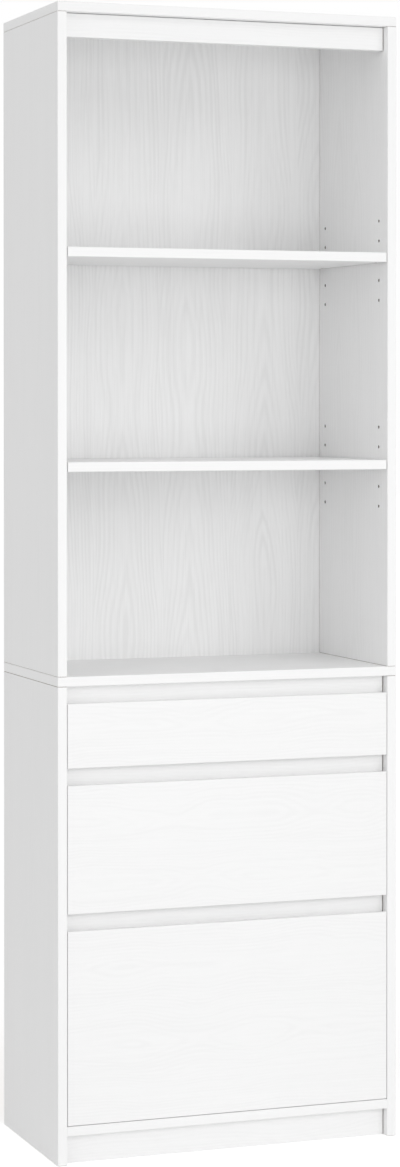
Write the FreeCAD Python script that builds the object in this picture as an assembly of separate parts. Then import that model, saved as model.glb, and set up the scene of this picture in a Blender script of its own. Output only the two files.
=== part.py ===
import FreeCAD
import Part
import math
import os

# Tall narrow bookcase with three inset drawers below.
# Millimetres. X runs left to right as seen from the front, Y from front to back, Z up.
# The origin is on the floor, at the middle of the footprint.

# --- Carcass ---
WIDTH = 570.0
DEPTH = 293.0
BOARD = 15.0  # laminated board of every panel, side, shelf and rail
EDGE_EASE = 0.6  # small chamfer along every board edge

# --- Heights, from the floor up ---
PLINTH_HEIGHT = 45.0
FRONT_CLEARANCE = 1.0  # from the bottom panel to the lowest drawer front
BOTTOM_FRONT_HEIGHT = 301.0
MIDDLE_FRONT_HEIGHT = 199.0
TOP_FRONT_HEIGHT = 100.0
GRIP_GAP = 27.0  # open finger gap above each drawer front
UPPER_SIDE_HEIGHT = 1028.0

# --- Rails set back between the sides ---
PLINTH_RECESS = 15.0
RAIL_RECESS = 17.0
RAIL_LAP_BELOW = 10.0  # how far a grip rail reaches down behind the front under it
RAIL_LAP_ABOVE = 6.0  # and up behind the front over it
RAIL_END_GAP = 0.9  # from each end of a rail to the side
FASCIA_DROP = 37.5  # lower edge of the fascia, below the top panel
FASCIA_TOP_GAP = 0.9

# --- Back panels, in grooves ---
BACK_THICKNESS = 3.0
BACK_INSET = 5.4  # from the rear edges of the sides to the panel
GROOVE_DEPTH = 5.0
GROOVE_PLAY = 0.1
GROOVE_END_PLAY = 0.5

# --- Shelves and their pins ---
LOWER_SHELF_HEIGHT = 317.0  # underside, above the middle panel
UPPER_SHELF_HEIGHT = 650.0
SHELF_SIDE_GAP = 1.5
SHELF_REAR_GAP = 2.0
HOLE_PITCH = 32.0
HOLES_PER_ROW = 5
HOLE_FRONT_SETBACK = 35.0
HOLE_REAR_SETBACK = 33.0  # from the rear edges of the sides
HOLE_RADIUS = 2.5
HOLE_DEPTH = 10.0
PIN_PLAY = 0.05
PIN_SEAT = 9.5  # length of a pin inside its hole
PIN_REACH = 8.0  # length of a pin outside its hole
PIN_SIDES = 10  # ribbed, to grip its hole
PIN_RISE = 3.5  # pin axis above the underside of the shelf
PIN_FLAT = 2.0  # flat top of the pin's nose above its axis
NOTCH_PLAY = 0.4  # between a pin and the notch that hides it

# --- Dowels ---
DOWEL_RADIUS = 4.0
DOWEL_SIDES = 8  # ribbed dowels, in holes of the same section
DOWEL_PLAY = 0.05
DOWEL_IN_END = 20.0  # depth in the end of a board
DOWEL_IN_FACE = 10.0  # depth in the face of a board
DOWEL_END_PLAY = 0.5
PANEL_DOWEL_FRONT_SETBACK = 60.0
PANEL_DOWEL_REAR_SETBACK = 58.0  # from the rear edges of the sides

# --- Drawers ---
FRONT_THICKNESS = 15.0
FRONT_SIDE_GAP = 1.0
FINGER_BEVEL_DEPTH = 9.0  # bevel along the rear of each front's top edge
FINGER_BEVEL_HEIGHT = 14.0
BOX_BOARD = 12.0
BOX_LIFT = 12.0  # lower edge of the box above the lower edge of its front
TOP_BOX_HEIGHT = 70.0
MIDDLE_BOX_HEIGHT = 150.0
BOTTOM_BOX_HEIGHT = 240.0
RUNNER_SPACE = 12.5  # between a box side and the carcass side
HOUSING_DEPTH = 4.0  # grooves that hold the box boards
HOUSING_PLAY = 0.1
BOX_BACK_SETBACK = 6.0  # from the rear ends of the box sides to the box back
BOX_BOTTOM_THICKNESS = 3.0
BOX_BOTTOM_RISE = 8.0  # underside of the drawer bottom above the lower edge of the box

# --- Roller runners ---
RUNNER_SETBACK = 1.0  # start of the carcass channel behind the drawer front
RUNNER_REAR_GAP = 18.6  # from the channels to the back panel
EXTENSION_LOSS = 60.0  # what stays inside when a drawer is fully out
STEEL = 1.2
CHANNEL_REACH = 10.2  # width of the channel's flanges, from the carcass side
CHANNEL_CORNER = 6.0
ROLLER_RADIUS = 9.0
ROLLER_WIDTH = 7.6
ROLLER_SIDE_PLAY = 0.6
ROLLER_HEAD_PLAY = 0.3
ROLL_PLAY = 0.3  # between a roller and the steel that it runs on
FLANGE_PLAY = 0.4  # between the drawer flange and the top of the channel
FLANGE_REACH = 8.7  # drawer flange that runs on the front roller
HOOK_REACH = 11.0  # drawer flange under the box side
AXLE_RADIUS = 2.5
AXLE_PLAY = 0.05
AXLE_SIDES = 8  # of an axle and its bore, which its head and its roller cover
AXLE_HEAD_RADIUS = 4.0
AXLE_HEAD_SIDES = 10
AXLE_HEAD = 0.8
ROLLER_CUT_PLAY = 1.5  # between a roller and the cut end of a flange
ROLLER_END_GAP = 1.0  # front roller behind the front end of its channel
HOOK_IN_LENGTH = 34.0  # front stretch of the channel that is open at the top
STOP_HEIGHT = 3.0
STOP_LENGTH = 6.0
END_TAB_HEIGHT = 12.0

# --- Levels and planes that follow from the sizes above ---
FRONT = -DEPTH / 2
INNER = WIDTH / 2 - BOARD  # inner face of a side, from the middle
BOTTOM_PANEL_TOP = PLINTH_HEIGHT + BOARD
BOTTOM_FRONT_BASE = BOTTOM_PANEL_TOP + FRONT_CLEARANCE
MIDDLE_FRONT_BASE = BOTTOM_FRONT_BASE + BOTTOM_FRONT_HEIGHT + GRIP_GAP
TOP_FRONT_BASE = MIDDLE_FRONT_BASE + MIDDLE_FRONT_HEIGHT + GRIP_GAP
MIDDLE_PANEL_BASE = TOP_FRONT_BASE + TOP_FRONT_HEIGHT + GRIP_GAP
MIDDLE_PANEL_TOP = MIDDLE_PANEL_BASE + BOARD
TOP_PANEL_BASE = MIDDLE_PANEL_TOP + UPPER_SIDE_HEIGHT
HEIGHT = TOP_PANEL_BASE + BOARD
BACK_FACE = DEPTH - BACK_INSET - BACK_THICKNESS  # front face of the back panels
BOX_HALF_WIDTH = INNER - RUNNER_SPACE
RUNNER_LENGTH = BACK_FACE - RUNNER_REAR_GAP - FRONT_THICKNESS - RUNNER_SETBACK
BOX_LENGTH = RUNNER_LENGTH
DRAWER_TRAVEL = RUNNER_LENGTH - EXTENSION_LOSS

SHELF_LEVELS = {
    "lower_shelf": MIDDLE_PANEL_TOP + LOWER_SHELF_HEIGHT,
    "upper_shelf": MIDDLE_PANEL_TOP + UPPER_SHELF_HEIGHT,
}
HOLE_SETBACKS = (HOLE_FRONT_SETBACK, DEPTH - HOLE_REAR_SETBACK)
PANEL_DOWEL_SETBACKS = (PANEL_DOWEL_FRONT_SETBACK, DEPTH - PANEL_DOWEL_REAR_SETBACK)

# Each drawer: level of its front, height of its front, height of its box.
DRAWERS = {
    "top": (TOP_FRONT_BASE, TOP_FRONT_HEIGHT, TOP_BOX_HEIGHT),
    "middle": (MIDDLE_FRONT_BASE, MIDDLE_FRONT_HEIGHT, MIDDLE_BOX_HEIGHT),
    "bottom": (BOTTOM_FRONT_BASE, BOTTOM_FRONT_HEIGHT, BOTTOM_BOX_HEIGHT),
}

# Each rail between the sides: its setback, lower edge and upper edge.
RAILS = {
    "top_fascia": (
        RAIL_RECESS,
        TOP_PANEL_BASE - FASCIA_DROP,
        TOP_PANEL_BASE - FASCIA_TOP_GAP,
    ),
    "upper_grip_rail": (
        RAIL_RECESS,
        TOP_FRONT_BASE + TOP_FRONT_HEIGHT - RAIL_LAP_BELOW,
        MIDDLE_PANEL_BASE,
    ),
    "middle_grip_rail": (
        RAIL_RECESS,
        TOP_FRONT_BASE - GRIP_GAP - RAIL_LAP_BELOW,
        TOP_FRONT_BASE + RAIL_LAP_ABOVE,
    ),
    "lower_grip_rail": (
        RAIL_RECESS,
        MIDDLE_FRONT_BASE - GRIP_GAP - RAIL_LAP_BELOW,
        MIDDLE_FRONT_BASE + RAIL_LAP_ABOVE,
    ),
    "plinth": (PLINTH_RECESS, 0.0, PLINTH_HEIGHT),
}

SIDES = {"left": -1, "right": 1}
TO_RIGHT = FreeCAD.Vector(1, 0, 0)
UP = FreeCAD.Vector(0, 0, 1)


def block(x, y, z):
    """A plain box between pairs of limits, with y counted back from the front plane."""
    size = (x[1] - x[0], y[1] - y[0], z[1] - z[0])
    return Part.makeBox(*size, FreeCAD.Vector(x[0], FRONT + y[0], z[0]))


def board(x, y, z):
    """A board with all of its edges eased."""
    raw = block(x, y, z)
    return raw.makeChamfer(EDGE_EASE, raw.Edges)


def sidewise(side, near, far):
    """Limits along X at two distances from the middle, on the given side."""
    return tuple(sorted((SIDES[side] * near, SIDES[side] * far)))


def rod(radius, length, x, y, z, along):
    """A cylinder that starts at a point, with y counted back from the front plane."""
    return Part.makeCylinder(radius, length, FreeCAD.Vector(x, FRONT + y, z), along)


def ribbed_rod(sides, radius, length, x, y, z, along):
    """A rod with flat sides, for hidden pieces; it starts at a point like a round one."""
    start = FreeCAD.Vector(x, FRONT + y, z)
    spoke = FreeCAD.Vector(0, radius, 0)
    turns = [FreeCAD.Rotation(along, 360.0 * number / sides) for number in range(sides)]
    corners = [start + turn.multVec(spoke) for turn in turns]
    outline = Part.Face(Part.makePolygon(corners + corners[:1]))
    return outline.extrude(along * length)


def extrude_across(points, x):
    """A prism along X with its outline given as (y from the front plane, z) points."""
    corners = [FreeCAD.Vector(x[0], FRONT + y, z) for y, z in points]
    outline = Part.Face(Part.makePolygon(corners + corners[:1]))
    return outline.extrude(TO_RIGHT * (x[1] - x[0]))


def cut_all(solid, tools):
    """The solid with every tool taken out of it."""
    return solid.cut(Part.makeCompound(tools)) if tools else solid


def fuse_all(solids):
    """One solid from overlapping or touching ones."""
    return solids[0].multiFuse(solids[1:]).removeSplitter()


# --- Dowels: each is a rod across one joint, and its boards are drilled by the same rod ---


def dowel_rods(grown=0.0, end_gap=0.0):
    """Every dowel as a ribbed rod, or the cutter of its hole when it is grown."""

    def dowel(*placed):
        return ribbed_rod(DOWEL_SIDES, DOWEL_RADIUS + grown, *placed)

    rods = []
    in_face = DOWEL_IN_FACE - DOWEL_END_PLAY + end_gap
    in_end = DOWEL_IN_END - DOWEL_END_PLAY + end_gap
    for sign in SIDES.values():
        x = sign * (WIDTH - BOARD) / 2
        inwards = TO_RIGHT * -sign
        for setback in PANEL_DOWEL_SETBACKS:
            top = dowel(in_end + in_face, x, setback, TOP_PANEL_BASE - in_end, UP)
            through = dowel(2 * in_end + BOARD, x, setback, MIDDLE_PANEL_BASE - in_end, UP)
            level = PLINTH_HEIGHT + BOARD / 2
            start = sign * (INNER + in_face)
            low = dowel(in_face + in_end, start, setback, level, inwards)
            rods += [top, through, low]
        for setback, base, head in RAILS.values():
            start = sign * (INNER + in_face)
            level = (base + head) / 2
            rods.append(dowel(in_face + in_end, start, setback + BOARD / 2, level, inwards))
    return rods


def wooden_dowels():
    """All dowels of the carcass."""
    return Part.makeCompound(dowel_rods())


def drilled(panel):
    """A carcass board with its dowel holes."""
    return cut_all(panel, dowel_rods(DOWEL_PLAY, DOWEL_END_PLAY))


# --- Carcass boards ---


def back_groove(x, z):
    """The slot that holds the edge of a back panel."""
    y = (BACK_FACE - GROOVE_PLAY, BACK_FACE + BACK_THICKNESS + GROOVE_PLAY)
    return block(x, y, z)


def full_panel(base):
    """A panel over the whole footprint, as at the top and the middle."""
    return board((-WIDTH / 2, WIDTH / 2), (0.0, DEPTH), (base, base + BOARD))


def panel_groove(z):
    """A stopped groove across a full panel."""
    half = INNER + GROOVE_DEPTH
    return back_groove((-half, half), z)


def top_panel():
    groove = panel_groove((TOP_PANEL_BASE, TOP_PANEL_BASE + GROOVE_DEPTH))
    return drilled(full_panel(TOP_PANEL_BASE).cut(groove))


def middle_panel():
    upper = panel_groove((MIDDLE_PANEL_TOP - GROOVE_DEPTH, MIDDLE_PANEL_TOP))
    lower = panel_groove((MIDDLE_PANEL_BASE, MIDDLE_PANEL_BASE + GROOVE_DEPTH))
    return drilled(cut_all(full_panel(MIDDLE_PANEL_BASE), [upper, lower]))


def bottom_panel():
    """The panel under the drawers, between the sides and in front of the back panel."""
    z = (PLINTH_HEIGHT, BOTTOM_PANEL_TOP)
    return drilled(board((-INNER, INNER), (0.0, BACK_FACE), z))


def pin_drills(side):
    """The rows of shelf-pin holes in one upper side."""
    drills = []
    start = SIDES[side] * INNER
    outwards = TO_RIGHT * SIDES[side]
    middle_hole = (HOLES_PER_ROW - 1) / 2
    for level in SHELF_LEVELS.values():
        for setback in HOLE_SETBACKS:
            for number in range(HOLES_PER_ROW):
                z = level + PIN_RISE + (number - middle_hole) * HOLE_PITCH
                drills.append(rod(HOLE_RADIUS, HOLE_DEPTH, start, setback, z, outwards))
    return drills


def upper_side(side):
    """A side of the open part, with its back groove and its pin holes."""
    z = (MIDDLE_PANEL_TOP, TOP_PANEL_BASE)
    panel = board(sidewise(side, INNER, WIDTH / 2), (0.0, DEPTH), z)
    groove = back_groove(sidewise(side, INNER, INNER + GROOVE_DEPTH), z)
    return drilled(cut_all(panel, [groove] + pin_drills(side)))


def lower_side(side):
    """A side of the drawer part, which stands on the floor."""
    panel = board(sidewise(side, INNER, WIDTH / 2), (0.0, DEPTH), (0.0, MIDDLE_PANEL_BASE))
    z = (PLINTH_HEIGHT - GROOVE_END_PLAY, MIDDLE_PANEL_BASE)
    groove = back_groove(sidewise(side, INNER, INNER + GROOVE_DEPTH), z)
    return drilled(panel.cut(groove))


def rail(name):
    """A narrow board across the carcass, which the dowels at its ends hold between the sides."""
    setback, base, head = RAILS[name]
    half = INNER - RAIL_END_GAP
    return drilled(board((-half, half), (setback, setback + BOARD), (base, head)))


def back_panel(base, head):
    """A thin panel that reaches into the grooves of both sides."""
    half = INNER + GROOVE_DEPTH - GROOVE_END_PLAY
    return block((-half, half), (BACK_FACE, BACK_FACE + BACK_THICKNESS), (base, head))


def upper_back_panel():
    lap = GROOVE_DEPTH - GROOVE_END_PLAY
    return back_panel(MIDDLE_PANEL_TOP - lap, TOP_PANEL_BASE + lap)


def lower_back_panel():
    lap = GROOVE_DEPTH - GROOVE_END_PLAY
    return back_panel(PLINTH_HEIGHT, MIDDLE_PANEL_BASE + lap)


# --- Shelves ---


def shelf(name):
    """A loose shelf, with a notch under each corner that drops over a pin."""
    base = SHELF_LEVELS[name]
    half = INNER - SHELF_SIDE_GAP
    panel = board((-half, half), (0.0, BACK_FACE - SHELF_REAR_GAP), (base, base + BOARD))
    half_slot = HOLE_RADIUS + NOTCH_PLAY
    notches = []
    for side in SIDES:
        x = sidewise(side, INNER - PIN_REACH - NOTCH_PLAY, INNER)
        for setback in HOLE_SETBACKS:
            y = (setback - half_slot, setback + half_slot)
            notches.append(block(x, y, (base, base + PIN_RISE + PIN_FLAT)))
    return cut_all(panel, notches)


def shelf_pins():
    """Eight pins with a flat-topped nose, one under each shelf corner."""
    pins = []
    radius = HOLE_RADIUS - PIN_PLAY
    for side, sign in SIDES.items():
        for level in SHELF_LEVELS.values():
            for setback in HOLE_SETBACKS:
                z = level + PIN_RISE
                start = sign * (INNER - PIN_REACH)
                length = PIN_REACH + PIN_SEAT
                pin = ribbed_rod(PIN_SIDES, radius, length, start, setback, z, TO_RIGHT * sign)
                x = sidewise(side, INNER - PIN_REACH, INNER)
                y = (setback - radius, setback + radius)
                pins.append(pin.cut(block(x, y, (z + PIN_FLAT, z + radius))))
    return Part.makeCompound(pins)


# --- Drawer boxes ---


def box_limits(drawer):
    """Lower and upper edge of a drawer's box."""
    base = DRAWERS[drawer][0] + BOX_LIFT
    return base, base + DRAWERS[drawer][2]


def bottom_slot(drawer):
    """Limits in height of the groove around a drawer bottom."""
    low = box_limits(drawer)[0] + BOX_BOTTOM_RISE
    return low, low + BOX_BOTTOM_THICKNESS + 2 * HOUSING_PLAY


def drawer_front(drawer):
    """An inset front with a finger bevel, and grooves behind for the box."""
    base, height, _ = DRAWERS[drawer]
    half = INNER - FRONT_SIDE_GAP
    head = base + height
    x = (-half, half)
    panel = board(x, (0.0, FRONT_THICKNESS), (base, head))
    bevel = extrude_across(
        [
            (FRONT_THICKNESS, head - FINGER_BEVEL_HEIGHT),
            (FRONT_THICKNESS, head),
            (FRONT_THICKNESS - FINGER_BEVEL_DEPTH, head),
        ],
        x,
    )
    low, high = box_limits(drawer)
    y = (FRONT_THICKNESS - HOUSING_DEPTH, FRONT_THICKNESS)
    tools = [bevel]
    for side in SIDES:
        inner = BOX_HALF_WIDTH - BOX_BOARD - HOUSING_PLAY
        outer = BOX_HALF_WIDTH + HOUSING_PLAY
        z = (low - HOUSING_PLAY, high + HOUSING_PLAY)
        tools.append(block(sidewise(side, inner, outer), y, z))
    tools.append(block((-BOX_HALF_WIDTH, BOX_HALF_WIDTH), y, bottom_slot(drawer)))
    return cut_all(panel, tools)


def box_back_depths():
    """Front and rear face of a box back, from the front plane."""
    rear = FRONT_THICKNESS + BOX_LENGTH - BOX_BACK_SETBACK
    return rear - BOX_BOARD, rear


def drawer_side(drawer, side):
    """A box side, grooved for the drawer bottom and for the box back."""
    low, high = box_limits(drawer)
    x = sidewise(side, BOX_HALF_WIDTH - BOX_BOARD, BOX_HALF_WIDTH)
    y = (FRONT_THICKNESS - HOUSING_DEPTH + HOUSING_PLAY, FRONT_THICKNESS + BOX_LENGTH)
    panel = board(x, y, (low, high))
    inner = BOX_HALF_WIDTH - BOX_BOARD
    slot = sidewise(side, inner, inner + HOUSING_DEPTH)
    back_front, back_rear = box_back_depths()
    y_back = (back_front - HOUSING_PLAY, back_rear + HOUSING_PLAY)
    bottom_groove = block(slot, (y[0], back_rear + HOUSING_PLAY), bottom_slot(drawer))
    back_groove_cut = block(slot, y_back, (bottom_slot(drawer)[0], high))
    return cut_all(panel, [bottom_groove, back_groove_cut])


def drawer_back(drawer):
    """The box back, which stands on the drawer bottom."""
    high = box_limits(drawer)[1]
    low = bottom_slot(drawer)[0] + BOX_BOTTOM_THICKNESS
    half = BOX_HALF_WIDTH - BOX_BOARD + HOUSING_DEPTH - HOUSING_PLAY
    return board((-half, half), box_back_depths(), (low, high))


def drawer_bottom(drawer):
    """The thin bottom, held in the grooves of the front and the sides."""
    low = bottom_slot(drawer)[0]
    half = BOX_HALF_WIDTH - BOX_BOARD + HOUSING_DEPTH - HOUSING_PLAY
    y = (FRONT_THICKNESS - HOUSING_DEPTH + HOUSING_PLAY, box_back_depths()[1])
    return block((-half, half), y, (low, low + BOX_BOTTOM_THICKNESS))


# --- Roller runners: an open channel on the carcass, a flanged strip on the drawer ---


def channel_floor(drawer):
    """Level of the track that the drawer's rear roller runs on."""
    return box_limits(drawer)[0]


def channel_depths():
    """Front and rear end of the carcass channel."""
    start = FRONT_THICKNESS + RUNNER_SETBACK
    return start, start + RUNNER_LENGTH


def channel_ceiling(drawer):
    return channel_floor(drawer) + 2 * (ROLLER_RADIUS + ROLL_PLAY)


def flange_top(drawer):
    """Upper face of the drawer flange that runs on the front roller."""
    return channel_ceiling(drawer) - FLANGE_PLAY


def front_roller_axis(drawer):
    """Depth and level of the roller at the mouth of the channel."""
    y = channel_depths()[0] + ROLLER_END_GAP + ROLLER_RADIUS
    return y, flange_top(drawer) - STEEL - ROLL_PLAY - ROLLER_RADIUS


def rear_roller_axis(drawer):
    """Depth and level of the roller at the rear of the drawer, when it is shut."""
    y = channel_depths()[1] - STEEL - ROLL_PLAY - ROLLER_RADIUS
    return y, channel_floor(drawer) + ROLL_PLAY + ROLLER_RADIUS


def axle(face, sign, y, z):
    """An axle that stands out of a runner's face, with the head that keeps its roller on."""
    reach = ROLLER_SIDE_PLAY + ROLLER_WIDTH + ROLLER_HEAD_PLAY
    along = TO_RIGHT * sign
    length = STEEL + reach + AXLE_HEAD
    start = face - sign * STEEL
    shaft = ribbed_rod(AXLE_SIDES, AXLE_RADIUS, length, start, y, z, along)
    start = face + sign * reach
    head = ribbed_rod(AXLE_HEAD_SIDES, AXLE_HEAD_RADIUS, AXLE_HEAD, start, y, z, along)
    return [shaft, head]


def roller(face, sign, y, z):
    """A nylon roller with a bore whose flats clear the corners of its axle."""
    start = face + sign * ROLLER_SIDE_PLAY
    along = TO_RIGHT * sign
    wheel = rod(ROLLER_RADIUS, ROLLER_WIDTH, start, y, z, along)
    bore_radius = (AXLE_RADIUS + AXLE_PLAY) / math.cos(math.pi / AXLE_SIDES)
    return wheel.cut(ribbed_rod(AXLE_SIDES, bore_radius, ROLLER_WIDTH, start, y, z, along))


def channel_face(side):
    """The face of a carcass channel's web that looks at the drawer."""
    return SIDES[side] * (INNER - STEEL)


def strip_face(side):
    """The face of a drawer strip's web that looks at the carcass."""
    return SIDES[side] * (BOX_HALF_WIDTH + STEEL)


def travel_stop(drawer, side):
    """The raised stop that the rear roller meets when the drawer is fully out."""
    roller_y = rear_roller_axis(drawer)[0] - DRAWER_TRAVEL
    rise = ROLLER_RADIUS + ROLL_PLAY - STOP_HEIGHT
    contact = math.sqrt(ROLLER_RADIUS**2 - rise**2) + ROLL_PLAY
    rear = roller_y - contact
    floor = channel_floor(drawer)
    outline = [
        (rear - STOP_LENGTH, floor - STEEL / 2),
        (rear, floor - STEEL / 2),
        (rear, floor + STOP_HEIGHT),
        (rear - STOP_HEIGHT, floor + STOP_HEIGHT),
    ]
    return extrude_across(outline, sidewise(side, INNER - CHANNEL_REACH, INNER - STEEL))


def cabinet_runner(drawer, side):
    """The channel on the carcass side, with its axle, travel stop and end tab."""
    start, end = channel_depths()
    floor, ceiling = channel_floor(drawer), channel_ceiling(drawer)
    roller_y, roller_z = front_roller_axis(drawer)
    x_web = sidewise(side, INNER - STEEL, INNER)
    x_flange = sidewise(side, INNER - CHANNEL_REACH, INNER)
    web = block(x_web, (start, end), (floor - STEEL, ceiling + STEEL))
    front_corners = [
        edge
        for edge in web.Edges
        if edge.BoundBox.YMax < FRONT + start + STEEL and edge.BoundBox.ZLength < STEEL
    ]
    web = web.makeChamfer(CHANNEL_CORNER, front_corners)
    floor_start = roller_y + ROLLER_RADIUS + ROLLER_CUT_PLAY
    track = block(x_flange, (floor_start, end), (floor - STEEL, floor))
    cover = block(x_flange, (start + HOOK_IN_LENGTH, end), (ceiling, ceiling + STEEL))
    tab = block(x_flange, (end - STEEL, end), (floor - STEEL, floor + END_TAB_HEIGHT))
    pieces = [web, track, cover, tab, travel_stop(drawer, side)]
    pieces += axle(channel_face(side), -SIDES[side], roller_y, roller_z)
    return fuse_all(pieces)


def drawer_runner(drawer, side):
    """The strip on the box side: a hook under the board and a flange over the front roller."""
    start, end = FRONT_THICKNESS + HOUSING_PLAY, FRONT_THICKNESS + BOX_LENGTH
    floor = channel_floor(drawer)
    head = flange_top(drawer)
    roller_y, roller_z = rear_roller_axis(drawer)
    flange_end = roller_y - ROLLER_RADIUS - ROLLER_CUT_PLAY
    x_web = sidewise(side, BOX_HALF_WIDTH, BOX_HALF_WIDTH + STEEL)
    x_hook = sidewise(side, BOX_HALF_WIDTH - HOOK_REACH, BOX_HALF_WIDTH + STEEL)
    x_flange = sidewise(side, BOX_HALF_WIDTH, BOX_HALF_WIDTH + STEEL + FLANGE_REACH)
    web = block(x_web, (start, end), (floor - STEEL, head))
    hook = block(x_hook, (start, end), (floor - STEEL, floor))
    flange = block(x_flange, (start, flange_end), (head - STEEL, head))
    pieces = [web, hook, flange] + axle(strip_face(side), SIDES[side], roller_y, roller_z)
    return fuse_all(pieces)


def front_rollers(drawer):
    """The left and right roller at the mouths of a drawer's channels."""
    axis = front_roller_axis(drawer)
    pair = [roller(channel_face(side), -sign, *axis) for side, sign in SIDES.items()]
    return Part.makeCompound(pair)


def rear_rollers(drawer):
    """The left and right roller at the rear of a drawer."""
    axis = rear_roller_axis(drawer)
    pair = [roller(strip_face(side), sign, *axis) for side, sign in SIDES.items()]
    return Part.makeCompound(pair)


def carcass_parts():
    """Everything that stands still, by node name."""
    parts = {
        "top_panel": top_panel(),
        "middle_panel": middle_panel(),
        "bottom_panel": bottom_panel(),
        "upper_back_panel": upper_back_panel(),
        "lower_back_panel": lower_back_panel(),
        "shelf_pins": shelf_pins(),
        "wooden_dowels": wooden_dowels(),
    }
    for side in SIDES:
        parts[f"upper_{side}_side"] = upper_side(side)
        parts[f"lower_{side}_side"] = lower_side(side)
    for name in RAILS:
        parts[name] = rail(name)
    for name in SHELF_LEVELS:
        parts[name] = shelf(name)
    return parts


def drawer_parts(drawer):
    """One drawer with its runners and rollers, by node name."""
    parts = {
        f"{drawer}_drawer_front": drawer_front(drawer),
        f"{drawer}_drawer_back": drawer_back(drawer),
        f"{drawer}_drawer_bottom": drawer_bottom(drawer),
        f"{drawer}_drawer_front_rollers": front_rollers(drawer),
        f"{drawer}_drawer_rear_rollers": rear_rollers(drawer),
    }
    for side in SIDES:
        parts[f"{drawer}_drawer_{side}_side"] = drawer_side(drawer, side)
        parts[f"{drawer}_drawer_{side}_runner"] = drawer_runner(drawer, side)
        parts[f"{drawer}_{side}_cabinet_runner"] = cabinet_runner(drawer, side)
    return parts


def main():
    os.makedirs("parts", exist_ok=True)
    parts = carcass_parts()
    for drawer in DRAWERS:
        parts.update(drawer_parts(drawer))
    for name, shape in parts.items():
        shape.exportStep(f"parts/{name}.step")


main()
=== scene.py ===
import math

import bpy
from bpy.props import FloatProperty, FloatVectorProperty, IntProperty, PointerProperty
from mathutils import Euler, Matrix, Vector


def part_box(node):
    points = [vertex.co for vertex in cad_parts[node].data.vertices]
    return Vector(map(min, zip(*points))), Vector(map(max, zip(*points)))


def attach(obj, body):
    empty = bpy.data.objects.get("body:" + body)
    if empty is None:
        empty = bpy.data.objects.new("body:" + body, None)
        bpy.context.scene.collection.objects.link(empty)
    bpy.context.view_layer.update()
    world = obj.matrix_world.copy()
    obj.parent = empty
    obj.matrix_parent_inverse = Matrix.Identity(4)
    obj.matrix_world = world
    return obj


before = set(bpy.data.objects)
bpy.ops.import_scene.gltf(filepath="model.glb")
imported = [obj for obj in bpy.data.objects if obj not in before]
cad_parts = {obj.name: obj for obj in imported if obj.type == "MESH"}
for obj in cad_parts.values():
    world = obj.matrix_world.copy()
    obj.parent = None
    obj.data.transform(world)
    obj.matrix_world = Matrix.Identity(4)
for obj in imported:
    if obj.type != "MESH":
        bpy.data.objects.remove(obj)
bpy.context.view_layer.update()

bl_info = {
    "name": "Bookcase with Bottom Drawers",
    "version": (1, 0, 0),
    "blender": (4, 5, 0),
    "location": "View3D > Sidebar > Bookcase",
    "description": "Finishes, runner screws and studio of a bookcase with bottom drawers",
    "category": "Object",
}

DRAWERS = ("top", "middle", "bottom")
SIDES = ("left", "right")

# Boards by the way they lie. Each sits in the frame under this name.
UPRIGHT_BOARDS = ("upper_left_side", "upper_right_side", "lower_left_side", "lower_right_side")
PANELS = ("top_panel", "middle_panel", "bottom_panel")
SHELVES = ("upper_shelf", "lower_shelf")
RAILS = ("top_fascia", "upper_grip_rail", "middle_grip_rail", "lower_grip_rail", "plinth")


# --- Sizes and colours that a user may change ---


def amount(name, description, default, least=0.0, **more):
    """A number that has a lower limit."""
    return FloatProperty(name=name, description=description, default=default, min=least, **more)


def length(name, description, default):
    """A size in metres."""
    return amount(name, description, default, subtype="DISTANCE", unit="LENGTH")


def share(name, description, default):
    """A plain number from 0 to 1."""
    return amount(name, description, default, max=1.0, subtype="FACTOR")


def angle(name, description, degrees):
    """An angle, given in degrees here and kept in radians."""
    return FloatProperty(
        name=name,
        description=description,
        default=math.radians(degrees),
        subtype="ANGLE",
        unit="ROTATION",
    )


def colour(name, description, default):
    """A linear colour."""
    return FloatVectorProperty(
        name=name,
        description=description,
        default=default,
        size=3,
        min=0.0,
        max=1.0,
        subtype="COLOR",
    )


def place(name, description, default):
    """A point in the room, in metres."""
    return FloatVectorProperty(
        name=name,
        description=description,
        default=default,
        size=3,
        subtype="TRANSLATION",
        unit="LENGTH",
    )


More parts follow.
